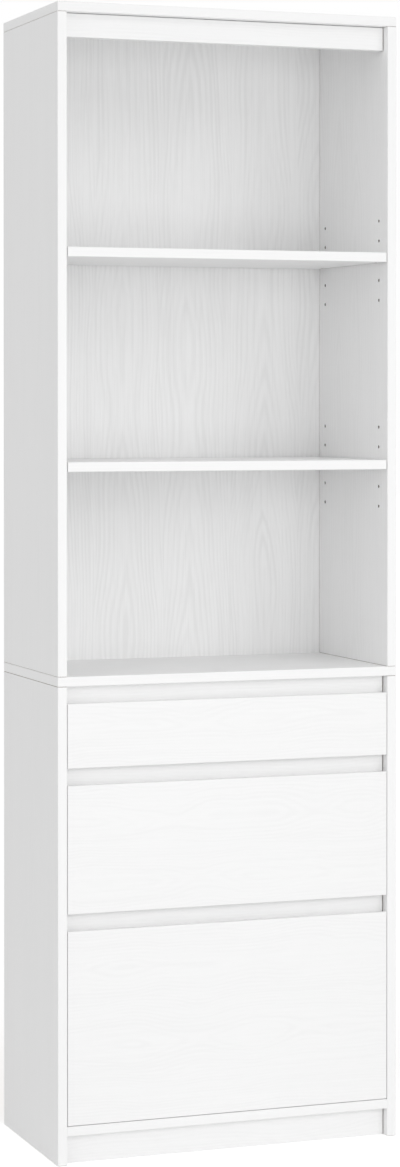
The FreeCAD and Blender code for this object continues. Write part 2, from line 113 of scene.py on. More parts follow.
class LaminateSettings(bpy.types.PropertyGroup):
    """White laminate with an embossed wood grain."""

    face_colour: colour("Face", "Colour of the boards", (0.95, 0.95, 0.95))
    raw_end: colour("Raw End", "Bare chipboard where a board is cut", (0.30, 0.27, 0.235))
    raw_chip: colour("Raw Chip", "Darker chips in the bare chipboard", (0.20, 0.175, 0.145))
    plank_width: length("Plank Width", "Width of one plank of the grain picture", 0.12)
    sway_length: length("Sway Length", "Distance over which the grain wanders", 0.36)
    front_sway: length("Front Sway", "The same on the drawer fronts", 0.2)
    ring_spacing: length("Ring Spacing", "Distance between two growth rings", 0.006)
    heart_depth: length("Heart Depth", "From the face to the heart of the log", 0.03)
    taper: share("Taper", "How fast the cut leaves the heart along the grain", 0.035)
    swell: length("Swell", "How much the heart comes and goes", 0.03)
    point: share("Point", "How pointed the arches of the grain are", 0.3)
    fibre_width: length("Fibre Width", "Width of the fine straight lines", 0.003)
    fibre_length: length("Fibre Length", "Length over which they change", 0.3)
    fibre_share: share("Fibre Share", "Their strength beside the grain lines", 0.6)
    line_contrast: share("Line Contrast", "How much darker the grain lines are", 0.022)
    front_contrast: share("Front Contrast", "The same on the drawer fronts", 0.026)
    side_contrast: share("Side Contrast", "The same outside on the upright sides", 0.015)
    inner_contrast: share("Inner Contrast", "The same inside on the upright sides", 0.04)
    back_contrast: share("Back Contrast", "The same on the printed back panel", 0.068)
    line_depth: length("Line Depth", "Depth of the embossed grain lines", 0.00004)
    pore_width: length("Pore Width", "Width of the fine embossed pores", 0.0011)
    pore_stretch: amount("Pore Stretch", "A pore's length in widths", 30.0, least=1.0)
    pore_depth: length("Pore Depth", "Depth of the fine pores", 0.00004)
    roughness: share("Roughness", "Roughness of the satin face", 0.46)
    skin: length("Skin", "Depth below a board's faces at which a cut is bare", 0.0007)
    # Painted shade: the bare strip either side of the back panel's groove is partly a chipped
    # edge and partly the shade line in the corner where the back panel meets the side.
    groove_lip_and_shade: length("Lip", "Width of the bare edge along the back panel's groove", 0.0006)


class BoxSettings(bpy.types.PropertyGroup):
    """Drawer boxes, thin boards and raw wood."""

    melamine: colour("Melamine", "Colour of the drawer sides and backs", (0.88, 0.88, 0.875))
    bottom: colour("Drawer Bottom", "Colour of the thin drawer bottoms", (0.87, 0.87, 0.86))
    raw_board: colour("Raw Board", "Rear of the thin back panels", (0.50, 0.36, 0.235))
    raw_fibre: colour("Raw Fibre", "Darker fibres in the raw rear", (0.40, 0.275, 0.165))
    beech: colour("Beech", "Colour of the dowels", (0.62, 0.43, 0.25))
    beech_fleck: colour("Beech Fleck", "Dark flecks of the dowels", (0.42, 0.25, 0.13))


class HardwareSettings(bpy.types.PropertyGroup):
    """Runners, rollers, pins and screws."""

    coat: colour("Runner Coat", "Epoxy coat of the runners", (0.83, 0.83, 0.82))
    nylon: colour("Nylon", "Rollers", (0.80, 0.80, 0.77))
    nickel: colour("Nickel", "Shelf pins and screws", (0.66, 0.65, 0.63))
    head_radius: length("Head Radius", "Radius of a screw head", 0.0033)
    flush_rise: length("Flush Rise", "How far a countersunk head stands proud", 0.00035)
    pan_rise: length("Pan Rise", "Height of a pan head", 0.0015)
    recess_length: length("Recess Length", "Across the cross recess", 0.0036)
    recess_width: length("Recess Width", "Width of a slot of the cross recess", 0.0008)
    screws_per_runner: IntProperty(
        name="Screws per Runner",
        description="Screws along each runner",
        default=3,
        min=2,
    )
    end_distance: length("End Distance", "First and last screw from a runner's ends", 0.03)
    web_thickness: length("Web Thickness", "Steel of the runners", 0.0012)
    web_height: length("Web Height", "Screws above a cabinet runner's lower edge", 0.0105)


class StudioSettings(bpy.types.PropertyGroup):
    """Camera, lamps and floor."""

    camera_place: place("Camera Place", "Where the camera stands", (-1.6795, -4.5547, 1.1826))
    camera_turn: angle("Camera Turn", "Turn to the right from straight ahead", 20.2734)
    camera_tilt: angle("Camera Tilt", "Tilt above the horizon", -0.5553)
    focal_length: amount("Focal Length", "Lens of the camera", 92.387, least=1.0, unit="CAMERA")
    rise: FloatProperty(
        name="Lens Rise",
        description="Upward shift of the picture, as a share of its long side",
        default=-0.13095,
        min=-1.0,
        max=1.0,
        subtype="FACTOR",
    )
    sky: amount("Sky", "Strength of the even light from all sides", 0.55)
    key_lamp: amount("Key Lamp", "Strength of the soft lamp in front, at the right", 0.39)
    high_lamp: amount("High Lamp", "Strength of the soft lamp high at the left", 0.28)
    low_lamp: amount("Low Lamp", "Strength of the soft lamp low at the left", 0.32)
    front_box: amount("Front Box", "Power of the soft box straight ahead", 21.0, unit="POWER")
    box_place: place("Box Place", "Where the soft box hangs", (0.0, -3.2, 1.2))
    box_width: length("Box Width", "Width of the soft box", 2.0)
    box_height: length("Box Height", "Height of the soft box", 1.6)
    box_aim: length("Box Aim", "Height above the floor at which it points", 1.0)
    floor_size: length("Floor Size", "Side of the floor", 60.0)
    floor_colour: colour("Floor", "Colour of the floor", (0.88, 0.88, 0.88))
    floor_glow: share("Floor Glow", "What the camera sees on top of the lit floor", 0.42)


SETTING_GROUPS = {
    "bookcase_laminate": LaminateSettings,
    "bookcase_box": BoxSettings,
    "bookcase_hardware": HardwareSettings,
    "bookcase_studio": StudioSettings,
}


# --- Small helpers for shader and geometry nodes ---


class NodeGraph:
    """Adds nodes to one tree and wires them by socket name or number."""

    def __init__(self, tree):
        self.tree = tree

    def add(self, kind, inputs=None, **settings):
        """A new node. An input is a plain value, or a socket to link from."""
        made = self.tree.nodes.new(kind)
        for name, value in settings.items():
            setattr(made, name, value)
        for key, value in (inputs or {}).items():
            socket = made.inputs[key]
            if isinstance(value, bpy.types.NodeSocket):
                self.tree.links.new(value, socket)
            else:
                socket.default_value = value
        return made

    def math(self, operation, *values):
        """A Math node's result."""
        made = self.add("ShaderNodeMath", dict(enumerate(values)), operation=operation)
        return made.outputs[0]

    def vary(self, texture, least, spread):
        """A number that a texture from 0 to 1 raises from its least value by up to its spread."""
        return self.math("MULTIPLY_ADD", texture, spread, least)

    def place(self):
        """Object coordinates, in metres."""
        return self.add("ShaderNodeTexCoord").outputs["Object"]

    def axes(self):
        """Object coordinates one by one, under the names of their axes."""
        return self.add("ShaderNodeSeparateXYZ", {0: self.place()}).outputs

    def noise(self, place, scale, detail, **more):
        """A noise from 0 to 1."""
        inputs = {"Vector": place, "Scale": scale, "Detail": detail, **more}
        return self.add("ShaderNodeTexNoise", inputs).outputs["Fac"]

    def ramp(self, value, stops):
        """A colour ramp's result, with two (place, grey) stops."""
        made = self.add("ShaderNodeValToRGB", {"Fac": value})
        for element, (position, grey) in zip(made.color_ramp.elements, stops):
            element.position = position
            element.color = (grey, grey, grey, 1.0)
        return made.outputs["Color"]

    def blend(self, factor, first, second):
        """A mix of two colours, which may be linked."""
        inputs = {0: factor}
        for key, value in ((6, first), (7, second)):
            linked = isinstance(value, bpy.types.NodeSocket)
            inputs[key] = value if linked else (*value, 1.0)
        return self.add("ShaderNodeMix", inputs, data_type="RGBA").outputs[2]

    def bump(self, relief):
        """A normal from a relief in metres."""
        inputs = {"Height": relief, "Distance": 1.0, "Strength": 1.0}
        return self.add("ShaderNodeBump", inputs).outputs[0]


def new_material(name, plain):
    """A material with an empty node tree, and its viewport colour."""
    material = bpy.data.materials.new(name)
    material.diffuse_color = (*plain, 1.0)
    material.use_nodes = True
    material.node_tree.nodes.clear()
    return material, NodeGraph(material.node_tree)


def surface(graph, **inputs):
    """Links a Principled shader to a material's output."""
    shader = graph.add(
        "ShaderNodeBsdfPrincipled", {key.replace("_", " "): v for key, v in inputs.items()}
    )
    output = graph.add("ShaderNodeOutputMaterial")
    graph.tree.links.new(shader.outputs[0], output.inputs["Surface"])


def shaded(plain, brightness):
    """A colour made darker."""
    return [channel * brightness for channel in plain]


def dress(nodes, material):
    """Gives CAD nodes a material in place of their plain one."""
    for name in nodes:
        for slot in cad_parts[name].material_slots:
            slot.material = material


# --- Laminate ---

ALONG = {"X": (1, 0, 0), "Y": (0, 1, 0), "Z": (0, 0, 1)}
FACING_LIMIT = 0.6  # cosine above which a face counts as looking along an axis

# How the growth rings are drawn.
PLANK_SWAY = 0.3  # how far the planks' edges wander, in plank widths
HEART_FIRST = -0.9  # where a plank may start beside the heart of its log, in plank widths
HEART_SPREAD = 0.8  # how far that start differs from plank to plank
SWELL_STEP = 7.3  # from plank to plank in the noise of the swell, so that they differ
STRENGTH_STEP = 3.7  # the same in the noise of the lines' strength
RING_STEP = 0.45  # how fast that strength changes from ring to ring
RING_POWER = 1.5  # how narrow the dark part of a ring is
RING_STRENGTHS = ((0.36, 0.1), (0.64, 1.0))

FIBRE_STOPS = ((0.42, 0.0), (0.7, 1.0))
PORE_STOPS = ((0.52, 0.0), (0.66, 1.0))
PORE_SHARE = 0.3  # how dark a pore is beside a grain line
LINE_ROUGHNESS = 0.10  # how much rougher a grain line is than the face
LAMINATE_SPECULAR = 0.42
CHIPS_PER_METRE = 450.0

# How the raw rear of a thin board is drawn.
THREADS_PER_METRE = 420.0
THREAD_STOPS = ((0.4, 0), (0.7, 0.6))
PATCHES_PER_METRE = 9.0
PATCH_SHARE = 0.5

# Where the boards lie in the endless grain picture. Like boards follow one another by a step.
SIDE_OFFSET, SIDE_STEP = 3.7, 1.3
SHELF_OFFSET, SHELF_STEP = 11.3, 1.7
PANEL_OFFSET = 11.3
RAIL_OFFSET = 2.9
FRONT_OFFSET = 5.9
BACK_OFFSET = 8.1


def stretched(graph, axis, size, stretch, offset=0.0):
    """Object coordinates in units of a pattern's size, drawn out along one axis."""
    scale = [(1 / stretch if on else 1.0) / size for on in ALONG[axis]]
    mapping = graph.add(
        "ShaderNodeMapping", {"Vector": graph.place(), "Location": (offset,) * 3, "Scale": scale}
    )
    return mapping.outputs[0]


def facing(graph, axis, way=0):
    """1 on the faces that look along an axis, and 0 elsewhere; way 0 takes both ways."""
    normal = graph.add("ShaderNodeTexCoord").outputs["Normal"]
    along = graph.add(
        "ShaderNodeVectorMath", {0: normal, 1: ALONG[axis]}, operation="DOT_PRODUCT"
    ).outputs["Value"]
    turned = graph.math("MULTIPLY", along, way) if way else graph.math("ABSOLUTE", along)
    return graph.math("GREATER_THAN", turned, FACING_LIMIT)


def within(graph, axis, low, high):
    """1 between two values of one coordinate, and 0 elsewhere."""
    off = graph.math("ABSOLUTE", graph.math("SUBTRACT", graph.axes()[axis], (low + high) / 2))
    return graph.math("LESS_THAN", off, (high - low) / 2)


def cut_faces(graph, box, broad, edge, skin):
    """1 on the faces of holes, notches and grooves that are cut into a board."""
    low, high = box
    one, other = "XYZ".index(broad), "XYZ".index(edge)
    deep = within(graph, broad, low[one] + skin, high[one] - skin)
    steep = graph.math("SUBTRACT", 1.0, facing(graph, broad))
    between = within(graph, edge, low[other] + skin, high[other] - skin)
    return graph.math("MULTIPLY", graph.math("MAXIMUM", deep, steep), between)


def noise_at(graph, x, y, z, detail=2.0):
    """A noise from 0 to 1 at three coordinates."""
    point = graph.add("ShaderNodeCombineXYZ", {0: x, 1: y, 2: z}).outputs[0]
    return graph.noise(point, scale=1.0, detail=detail)


def centred(graph, noise):
    """A noise from 0 to 1, moved to lie around 0."""
    return graph.math("SUBTRACT", noise, 0.5)


def growth_rings(graph, grain, across, settings, offset, sway_length):
    """Grain lines from 0 to 1, as flat-sawn planks show the rings of their logs."""
    axes = graph.axes()
    along = graph.math("DIVIDE", axes[grain], sway_length)
    wide = graph.math("DIVIDE", axes[across], settings.plank_width)
    sway = centred(graph, noise_at(graph, wide, along, offset))
    wide = graph.math("ADD", graph.math("MULTIPLY_ADD", sway, PLANK_SWAY, wide), offset)

    # The plank's number, and the place beside the heart of its log.
    plank = graph.math("FLOOR", wide)
    chance = graph.add("ShaderNodeTexWhiteNoise", {"W": plank}, noise_dimensions="1D")
    shift = graph.vary(chance.outputs["Value"], HEART_FIRST, HEART_SPREAD)
    beside = graph.math("ADD", graph.math("FRACT", wide), shift)
    beside = graph.math("MULTIPLY", beside, settings.plank_width)

    # The heart's depth below the face, and with it the radius of the ring.
    apart = graph.math("MULTIPLY", plank, SWELL_STEP)
    swell = noise_at(graph, apart, along, offset, detail=1.0)
    swell = graph.math("MULTIPLY", centred(graph, swell), 2 * settings.swell)
    depth = graph.math("MULTIPLY_ADD", axes[grain], settings.taper, settings.heart_depth)
    depth = graph.math("ADD", depth, swell)
    square = graph.math("MULTIPLY", depth, depth)
    radius = graph.math("SQRT", graph.math("MULTIPLY_ADD", beside, beside, square))
    radius = graph.math("MULTIPLY_ADD", graph.math("ABSOLUTE", beside), settings.point, radius)

    # One wave from 0 to 1 for each ring, some rings fainter than others.
    ring = graph.math("DIVIDE", radius, settings.ring_spacing)
    wave = graph.math("SINE", graph.math("MULTIPLY", ring, 2 * math.pi))
    wave = graph.math("POWER", graph.math("MULTIPLY_ADD", wave, 0.5, 0.5), RING_POWER)
    change = graph.math("MULTIPLY", ring, RING_STEP)
    apart = graph.math("MULTIPLY", plank, STRENGTH_STEP)
    strength = graph.ramp(noise_at(graph, change, apart, along), RING_STRENGTHS)
    return graph.math("MULTIPLY", wave, strength)


def fibres(graph, grain, settings, offset):
    """Fine straight lines from 0 to 1 along the grain, on faces and edges alike."""
    axes = graph.axes()
    first, second = (axes[axis] for axis in "XYZ" if axis != grain)
    fine = graph.math("DIVIDE", graph.math("ADD", first, second), settings.fibre_width)
    along = graph.math("DIVIDE", axes[grain], settings.fibre_length)
    return graph.ramp(noise_at(graph, fine, along, offset), FIBRE_STOPS)


def pores(graph, axis, settings, offset):
    """Fine short streaks along the grain, 1 inside a pore."""
    point = stretched(graph, axis, settings.pore_width, settings.pore_stretch, offset)
    return graph.ramp(graph.noise(point, scale=1.0, detail=1.0), PORE_STOPS)


def chipboard(graph, settings):
    """The colour of bare chipboard."""
    inputs = {"Vector": graph.place(), "Scale": CHIPS_PER_METRE}
    chips = graph.add("ShaderNodeTexVoronoi", inputs)
    return graph.blend(chips.outputs["Distance"], settings.raw_end, settings.raw_chip)


def laminate(
    name, grain, across, settings, contrast, offset, bare=None, rear=None, fade=None, sway=None
):
    """White board with grain lines and pores in its colour, gloss and relief.

    The grain runs along one axis, and a second one lies across it in the broad faces.
    Three of the last values are functions of a node graph: bare returns where chipboard
    shows, and on the upright sides also a painted shade line beside the back panel's groove;
    rear the colour of the rear, and fade how strong the lines are. Sway stands in
    for the sway length of the settings.
    """
    material, graph = new_material(name, settings.face_colour)
    broad = ({"X", "Y", "Z"} - {grain, across}).pop()
    rings = growth_rings(graph, grain, across, settings, offset, sway or settings.sway_length)
    rings = graph.math("MULTIPLY", rings, facing(graph, broad))
    beside = graph.math("SUBTRACT", 1.0, facing(graph, grain))
    fine = graph.math("MULTIPLY", fibres(graph, grain, settings, offset), beside)
    lines = graph.math("MULTIPLY_ADD", fine, settings.fibre_share, rings)
    streaks = graph.math("MULTIPLY", pores(graph, grain, settings, offset), beside)
    darker = graph.math("MULTIPLY_ADD", streaks, PORE_SHARE, lines)
    if fade is not None:
        darker = graph.math("MULTIPLY", darker, fade(graph))
    face = graph.blend(darker, settings.face_colour, shaded(settings.face_colour, 1 - contrast))
    if bare is not None:
        face = graph.blend(bare(graph), face, chipboard(graph, settings))
    if rear is not None:
        face = graph.blend(facing(graph, "Y", 1), face, rear(graph))
    relief = graph.math("MULTIPLY", lines, -settings.line_depth)
    relief = graph.math("MULTIPLY_ADD", streaks, -settings.pore_depth, relief)
    surface(
        graph,
        Base_Color=face,
        Roughness=graph.vary(lines, settings.roughness, LINE_ROUGHNESS),
        Normal=graph.bump(relief),
        Specular_IOR_Level=LAMINATE_SPECULAR,
    )
    return material


def side_laminate(node, settings, offset):
    """Laminate for one upright side: bare where it is cut, with more grain inside, and a painted
    shade line beside the back panel's groove.
    """
    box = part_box(node)
    inwards = -1 if box[0].x > 0 else 1
    part = node.split("_")[0]
    low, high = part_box(f"{part}_back_panel")

    def bare(graph):
        # The groove's bare bottom, and a bare strip on the inner face either side of it: a
        # chipped edge that also paints the shade line in the corner where the back panel meets
        # the side.
        groove_lips_and_shade = graph.math(
            "MULTIPLY",
            within(graph, "Y", low.y - settings.groove_lip_and_shade, high.y + settings.groove_lip_and_shade),
            within(graph, "Z", low.z, high.z),
        )
        groove_lips_and_shade = graph.math("MULTIPLY", groove_lips_and_shade, facing(graph, "X", inwards))
        cut = graph.math("MAXIMUM", groove_lips_and_shade, cut_faces(graph, box, "X", "Y", settings.skin))
        return graph.math("MAXIMUM", cut, facing(graph, "Z"))

    def fade(graph):
        outside = settings.side_contrast / settings.inner_contrast
        return graph.vary(facing(graph, "X", inwards), outside, 1 - outside)

    return laminate(
        f"{node}_laminate",
        grain="Z",
        across="Y",
        settings=settings,
        contrast=settings.inner_contrast,
        offset=offset,
        bare=bare,
        fade=fade,
    )


def shelf_laminate(node, settings, offset):
    """Laminate for one shelf: banded all round, and bare in its notches."""
    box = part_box(node)
    reach = box[1].x - settings.skin

    def bare(graph):
        cut = cut_faces(graph, box, "Z", "Y", settings.skin)
        return graph.math("MULTIPLY", cut, within(graph, "X", -reach, reach))

    return laminate(
        f"{node}_laminate",
        grain="X",
        across="Y",
        settings=settings,
        contrast=settings.line_contrast,
        offset=offset,
        bare=bare,
    )


def raw_fibreboard(settings):
    """Returns a maker of the raw rear's colour, for a thin board that is faced on one side."""

    def colour_of(graph):
        point = graph.place()
        threads = graph.noise(
            point, scale=THREADS_PER_METRE, detail=4.0, Roughness=0.7, Distortion=1.5
        )
        patches = graph.noise(point, scale=PATCHES_PER_METRE, detail=3.0)
        mottle = graph.vary(patches, graph.ramp(threads, THREAD_STOPS), PATCH_SHARE)
        return graph.blend(mottle, settings.raw_board, settings.raw_fibre)

    return colour_of


class BOOKCASE_OT_laminate(bpy.types.Operator):
    """Finishes the boards, fronts and back panels"""

    bl_idname = "bookcase.laminate"
    bl_label = "Finish Boards"

    def execute(self, context):
        settings = context.scene.bookcase_laminate
        for number, node in enumerate(UPRIGHT_BOARDS):
            dress([node], side_laminate(node, settings, SIDE_OFFSET + SIDE_STEP * number))
        for number, node in enumerate(SHELVES):
            dress([node], shelf_laminate(node, settings, SHELF_OFFSET + SHELF_STEP * number))
        panels = laminate(
            "level_laminate",
            grain="X",
            across="Y",
            settings=settings,
            contrast=settings.line_contrast,
            offset=PANEL_OFFSET,
        )
        rails = laminate(
            "rail_laminate",
            grain="X",
            across="Z",
            settings=settings,
            contrast=settings.line_contrast,
            offset=RAIL_OFFSET,
            bare=lambda graph: facing(graph, "X"),
        )
        fronts = laminate(
            "front_laminate",
            grain="X",
            across="Z",
            settings=settings,
            contrast=settings.front_contrast,
            offset=FRONT_OFFSET,
            sway=settings.front_sway,
        )
        backs = laminate(
            "back_laminate",
            grain="Z",
            across="X",
            settings=settings,
            contrast=settings.back_contrast,
            offset=BACK_OFFSET,
            rear=raw_fibreboard(context.scene.bookcase_box),
        )
        dress(PANELS, panels)
        dress(RAILS, rails)
        dress([f"{drawer}_drawer_front" for drawer in DRAWERS], fronts)
        dress(("upper_back_panel", "lower_back_panel"), backs)
        return {"FINISHED"}


# --- Drawer boxes, dowels ---

PEEL_DEPTH = 0.00004  # relief of the pressed face, in metres
PEEL_ROUGHNESS = 0.12  # how far its roughness varies
MELAMINE_STOPS = ((0.3, 0.0), (0.7, 1.0))
FLECK_STOPS = ((0.55, 0.0), (0.65, 1.0))


def melamine(name, face, roughness):
    """Plain melamine with the faint unevenness of a pressed face."""
    material, graph = new_material(name, face)
    point = graph.place()
    peel = graph.noise(point, scale=700.0, detail=2.0)
    patches = graph.ramp(graph.noise(point, scale=14.0, detail=2.0), MELAMINE_STOPS)
    surface(
        graph,
        Base_Color=graph.blend(patches, face, shaded(face, brightness=0.985)),
        Roughness=graph.vary(peel, roughness - PEEL_ROUGHNESS / 2, PEEL_ROUGHNESS),
        Normal=graph.bump(graph.math("MULTIPLY", peel, PEEL_DEPTH)),
    )
    return material


def beech(settings):
    """Raw beech with its short dark flecks, along the dowels that lie across the case."""
    material, graph = new_material("raw_beech", settings.beech)
    point = stretched(graph, "X", size=0.0012, stretch=8.0)
    flecks = graph.noise(point, scale=1.0, detail=2.0)
    tone = graph.blend(graph.ramp(flecks, FLECK_STOPS), settings.beech, settings.beech_fleck)
    surface(graph, Base_Color=tone, Roughness=0.7)
    return material


class BOOKCASE_OT_boxes(bpy.types.Operator):
    """Finishes the drawer boxes and the dowels"""

    bl_idname = "bookcase.boxes"
    bl_label = "Finish Drawer Boxes"

    def execute(self, context):
        settings = context.scene.bookcase_box
        walls = melamine("box_melamine", settings.melamine, roughness=0.5)
        bottom = melamine("box_bottom_face", settings.bottom, roughness=0.56)
        for drawer in DRAWERS:
            sides = [f"{drawer}_drawer_{side}_side" for side in SIDES]
            dress([*sides, f"{drawer}_drawer_back"], walls)
            dress([f"{drawer}_drawer_bottom"], bottom)
        dress(["wooden_dowels"], beech(settings))
        return {"FINISHED"}


# --- Runners, rollers, pins ---

COAT_DEPTH = 0.00003  # relief of the powder coat, in metres
COAT_STOPS = ((0.35, 0.0), (0.65, 1.0))
NYLON_IOR = 1.53


def epoxy_coat(settings):
    """Powder coat with a fine orange peel over steel."""
    material, graph = new_material("runner_coat", settings.coat)
    peel = graph.noise(graph.place(), scale=1100.0, detail=2.0)
    mottle = graph.ramp(peel, COAT_STOPS)
    surface(
        graph,
        Base_Color=graph.blend(mottle, settings.coat, shaded(settings.coat, brightness=0.97)),
        Roughness=graph.vary(peel, least=0.26, spread=0.1),
        Normal=graph.bump(graph.math("MULTIPLY", peel, COAT_DEPTH)),
    )
    return material


def nylon(settings):
    """Natural nylon with a faintly mottled face."""
    material, graph = new_material("roller_nylon", settings.nylon)
    mottle = graph.noise(graph.place(), scale=500.0, detail=3.0)
    surface(
        graph,
        Base_Color=graph.blend(mottle, settings.nylon, shaded(settings.nylon, brightness=0.93)),
        Roughness=graph.vary(mottle, least=0.3, spread=0.2),
        IOR=NYLON_IOR,
    )
    return material


def nickel(settings):
    """Nickel plate with fine drawn marks along the pins."""
    material, graph = new_material("nickel_plate", settings.nickel)
    point = stretched(graph, "X", size=0.0004, stretch=12.0)
    marks = graph.noise(point, scale=1.0, detail=2.0)
    surface(
        graph,
        Base_Color=graph.blend(marks, settings.nickel, shaded(settings.nickel, brightness=0.9)),
        Roughness=graph.vary(marks, least=0.18, spread=0.22),
        Metallic=1.0,
    )
    return material


class BOOKCASE_OT_hardware(bpy.types.Operator):
    """Finishes the runners, rollers and shelf pins"""

    bl_idname = "bookcase.hardware"
    bl_label = "Finish Hardware"

    def execute(self, context):
        settings = context.scene.bookcase_hardware
        coat = epoxy_coat(settings)
        plastic = nylon(settings)
        for drawer in DRAWERS:
            for side in SIDES:
                dress([f"{drawer}_{side}_cabinet_runner"], coat)
                dress([f"{drawer}_drawer_{side}_runner"], coat)
            for end in ("front", "rear"):
                dress([f"{drawer}_drawer_{end}_rollers"], plastic)
        dress(["shelf_pins"], nickel(settings))
        return {"FINISHED"}


# --- Runner screws, made by geometry nodes ---

HEAD_SEGMENTS, HEAD_RINGS = 24, 12
RECESS_LEVEL = 0.75  # middle of the recess, as a share of the head's rise


def screw_tree():
    """A tree that puts a cross-recessed screw head on each vertex, turned by its facing."""
    tree = bpy.data.node_groups.new("Runner Screws", "GeometryNodeTree")
    sockets = tree.interface
    sockets.new_socket("Geometry", in_out="INPUT", socket_type="NodeSocketGeometry")
    for name in ("Head Radius", "Head Rise", "Recess Length", "Recess Width"):
        sockets.new_socket(name, in_out="INPUT", socket_type="NodeSocketFloat")
    sockets.new_socket("Finish", in_out="INPUT", socket_type="NodeSocketMaterial")
    sockets.new_socket("Geometry", in_out="OUTPUT", socket_type="NodeSocketGeometry")
    graph = NodeGraph(tree)
    given = graph.add("NodeGroupInput").outputs
    radius, rise = given["Head Radius"], given["Head Rise"]

    # A flattened ball, and the two slots of the recess.
    ball = graph.add(
        "GeometryNodeMeshUVSphere",
        {"Segments": HEAD_SEGMENTS, "Rings": HEAD_RINGS, "Radius": radius},
    )
    flatness = graph.math("DIVIDE", rise, radius)
    flat = graph.add("ShaderNodeCombineXYZ", {0: 1.0, 1: 1.0, 2: flatness})
    head = graph.add(
        "GeometryNodeTransform", {"Geometry": ball.outputs["Mesh"], "Scale": flat.outputs[0]}
    )
    slots = []
    for along, across in (("Recess Length", "Recess Width"), ("Recess Width", "Recess Length")):
        size = graph.add("ShaderNodeCombineXYZ", {0: given[along], 1: given[across], 2: rise})
        slot = graph.add("GeometryNodeMeshCube", {"Size": size.outputs[0]})
        level = graph.math("MULTIPLY", rise, RECESS_LEVEL)
        lift = graph.add("ShaderNodeCombineXYZ", {2: level})
        raised = graph.add(
            "GeometryNodeTransform",
            {"Geometry": slot.outputs["Mesh"], "Translation": lift.outputs[0]},
        )
        slots.append(raised.outputs[0])
    cut = graph.add("GeometryNodeMeshBoolean", operation="DIFFERENCE", solver="EXACT")
    tree.links.new(head.outputs[0], cut.inputs[0])
    for slot in slots:
        tree.links.new(slot, cut.inputs[1])

    # One head on each vertex, looking the way that the vertex says.
    outwards = graph.add(
        "GeometryNodeInputNamedAttribute", {"Name": "facing"}, data_type="FLOAT_VECTOR"
    )
    turned = graph.add(
        "FunctionNodeAlignRotationToVector", {"Vector": outwards.outputs["Attribute"]}, axis="Z"
    )
    placed = graph.add(
        "GeometryNodeInstanceOnPoints",
        {
            "Points": given["Geometry"],
            "Instance": cut.outputs["Mesh"],
            "Rotation": turned.outputs[0],
        },
    )
    real = graph.add("GeometryNodeRealizeInstances", {"Geometry": placed.outputs[0]})
    finish = graph.add(
        "GeometryNodeSetMaterial", {"Geometry": real.outputs[0], "Material": given["Finish"]}
    )
    out = graph.add("NodeGroupOutput")
    tree.links.new(finish.outputs[0], out.inputs[0])
    return tree


def screw_places(node, settings, x, z):
    """Points along a runner at a given x and z."""
    low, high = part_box(node)
    first, last = low.y + settings.end_distance, high.y - settings.end_distance
    steps = settings.screws_per_runner - 1
    return [(x, first + (last - first) * number / steps, z) for number in range(steps + 1)]


def points_object(name, places, facings):
    """A mesh of loose vertices, each with the way that its screw faces."""
    mesh = bpy.data.meshes.new(name)
    mesh.from_pydata(places, [], [])
    attribute = mesh.attributes.new("facing", "FLOAT_VECTOR", "POINT")
    attribute.data.foreach_set("vector", [value for way in facings for value in way])
    points = bpy.data.objects.new(name, mesh)
    bpy.context.scene.collection.objects.link(points)
    return points


def screws(name, places, facings, rise, tree, body):
    """One plain mesh with all of these screws, riding on a body."""
    settings = bpy.context.scene.bookcase_hardware
    points = points_object(name, places, facings)
    modifier = points.modifiers.new("Screws", "NODES")
    modifier.node_group = tree
    values = {
        "Head Radius": settings.head_radius,
        "Head Rise": rise,
        "Recess Length": settings.recess_length,
        "Recess Width": settings.recess_width,
        "Finish": bpy.data.materials["nickel_plate"],
    }
    for item in tree.interface.items_tree:
        if item.in_out == "INPUT" and item.name in values:
            modifier[item.identifier] = values[item.name]
    ready = points.evaluated_get(bpy.context.evaluated_depsgraph_get())
    mesh = bpy.data.meshes.new_from_object(ready)
    points.modifiers.clear()
    points.data = mesh
    mesh.shade_flat()
    if not mesh.polygons:
        raise RuntimeError(f"{name}: the node tree made no screws")
    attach(points, body)


class BOOKCASE_OT_screws(bpy.types.Operator):
    """Makes the small screws of the runners"""

    bl_idname = "bookcase.screws"
    bl_label = "Make Runner Screws"

    def execute(self, context):
        settings = context.scene.bookcase_hardware
        tree = screw_tree()
        flush, inwards = [], []
        for drawer in DRAWERS:
            pan = []
            for side, sign in zip(SIDES, (-1, 1)):
                node = f"{drawer}_{side}_cabinet_runner"
                low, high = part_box(node)
                outside = low.x if sign < 0 else high.x
                web = outside - sign * settings.web_thickness
                places = screw_places(node, settings, web, low.z + settings.web_height)
                flush += places
                inwards += [(-sign, 0.0, 0.0)] * len(places)
                strip = f"{drawer}_drawer_{side}_runner"
                low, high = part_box(strip)
                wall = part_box(f"{drawer}_drawer_{side}_side")
                pan += screw_places(strip, settings, (wall[0].x + wall[1].x) / 2, low.z)
            down = [(0.0, 0.0, -1.0)] * len(pan)
            body = f"{drawer}_drawer"
            screws(f"{body}_runner_screws", pan, down, settings.pan_rise, tree, body)
        screws("cabinet_runner_screws", flush, inwards, settings.flush_rise, tree, "carcass")
        return {"FINISHED"}


# --- Studio ---

WHITE = (1.0, 1.0, 1.0, 1.0)
SENSOR_SIDE = 36.0  # long side of the camera's picture, in millimetres
VIEW_LIMIT = 200.0  # how far the camera sees, in metres
SUN_DISTANCE = 5.0  # where a sun is drawn, which doesn't change its light

# The soft suns. Each has its own strength in the settings, under the same name. Azimuth 0 is
# in front and 90 at the right, and all three angles are in degrees.
SUNS = (
    ("key_lamp", {"azimuth": 30.0, "elevation": 24.0, "softness": 28.0}),
    ("high_lamp", {"azimuth": -45.0, "elevation": 60.0, "softness": 40.0}),
    ("low_lamp", {"azimuth": -60.0, "elevation": 5.0, "softness": 40.0}),
)


